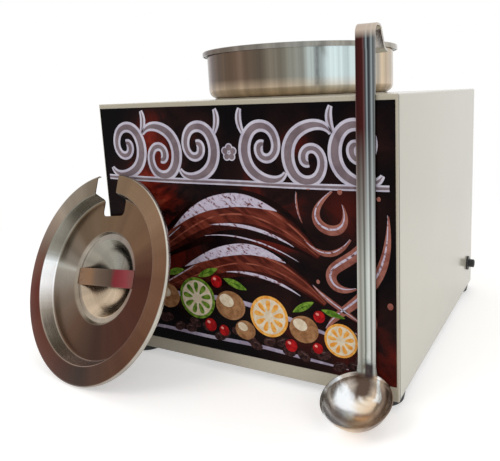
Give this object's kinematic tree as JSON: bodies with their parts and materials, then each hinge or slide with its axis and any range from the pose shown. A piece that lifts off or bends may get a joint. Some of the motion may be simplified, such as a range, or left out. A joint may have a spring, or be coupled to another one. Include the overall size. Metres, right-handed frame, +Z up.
{
  "type": "chocolate melter",
  "caption": "Countertop chocolate melter: box case on feet, lift-out pot in a heated water well, slotted lid and hooked ladle leaning on its printed front, controls behind.",
  "frame": {"origin": "centre of the case footprint, on the surface that the feet stand on", "axes": "+Z up, the printed front faces -Y, the cable entry is on the +X side"},
  "size_m": [0.3695, 0.3974, 0.2865],
  "materials": {
    "bead_ceramic": "matt",
    "black_plastic": "matt",
    "block_plastic": "matt",
    "copper_tube": "satin",
    "dial_aluminium": "satin",
    "foot_rubber": "matt",
    "knob_plastic": "satin",
    "lens_plastic": "gloss",
    "panel_paint": "gloss",
    "pin_brass": "satin",
    "printed_film": "gloss",
    "screw_steel": "satin",
    "silicone": "matt",
    "spreader_aluminium": "cast",
    "steel_brushed": "brushed",
    "steel_polished": "polished",
    "wire_insulation": "matt",
    "zinc_plate": "satin"
  },
  "bodies": {
    "case": {"band_bolt": "screw_steel", "band_nut": "screw_steel", "base_plate": "zinc_plate", "base_screws": "screw_steel", "block_screws": "screw_steel", "bulb_band": "screw_steel", "cable_gland": "black_plastic", "capillary": "copper_tube", "case_wrap": "panel_paint", "clamp_nut": "screw_steel", "dial_plate": "dial_aluminium", "earth_lug": "screw_steel", "earth_nuts": "screw_steel", "earth_stud": "screw_steel", "element_beads": "bead_ceramic", "element_clamp": "screw_steel", "element_pins": "pin_brass", "foot_front_left": "foot_rubber", "foot_front_right": "foot_rubber", "foot_nuts": "screw_steel", "foot_rear_left": "foot_rubber", "foot_rear_right": "foot_rubber", "foot_screws": "screw_steel", "front_graphic": "printed_film", "front_panel": "panel_paint", "gland_locknut": "black_plastic", "heat_spreader": "spreader_aluminium", "heating_element": "screw_steel", "internal_wiring": "wire_insulation", "lamp_body": "black_plastic", "lamp_lens": "lens_plastic", "rear_panel": "panel_paint", "rear_screws": "screw_steel", "sensing_bulb": "copper_tube", "switch_body": "black_plastic", "terminal_block": "block_plastic", "terminal_screws": "pin_brass", "thermostat_body": "black_plastic", "thermostat_screws": "screw_steel", "water_well": "steel_brushed", "well_band": "screw_steel", "well_gasket": "silicone"},
    "pot": {"inset_pot": "steel_brushed"},
    "lid": {"lid_shell": "steel_brushed", "lid_handle": "steel_brushed"},
    "ladle": {"ladle": "steel_polished"},
    "knob": {"thermostat_knob": "knob_plastic", "thermostat_spindle": "pin_brass"},
    "rocker": {"switch_rocker": "black_plastic"}
  },
  "joints": [
    {"name": "pot_lift", "type": "slide", "parent": "case", "child": "pot", "axis": [0, 0, 1], "range_m": [0, 0.2]},
    {"name": "lid_lift", "type": "slide", "parent": "case", "child": "lid", "axis": [0, 0, 1], "range_m": [0, 0.2]},
    {"name": "ladle_lift", "type": "slide", "parent": "case", "child": "ladle", "axis": [0, 0, 1], "range_m": [0, 0.25]},
    {"name": "knob_turn", "type": "hinge", "parent": "case", "child": "knob", "pos_m": [-0.06, 0.15, 0.083], "axis": [0, -1, 0], "range_deg": [0, 270]},
    {"name": "switch_rock", "type": "hinge", "parent": "case", "child": "rocker", "pos_m": [0.06, 0.149, 0.083], "axis": [1, 0, 0], "range_deg": [0, 14]}
  ]
}
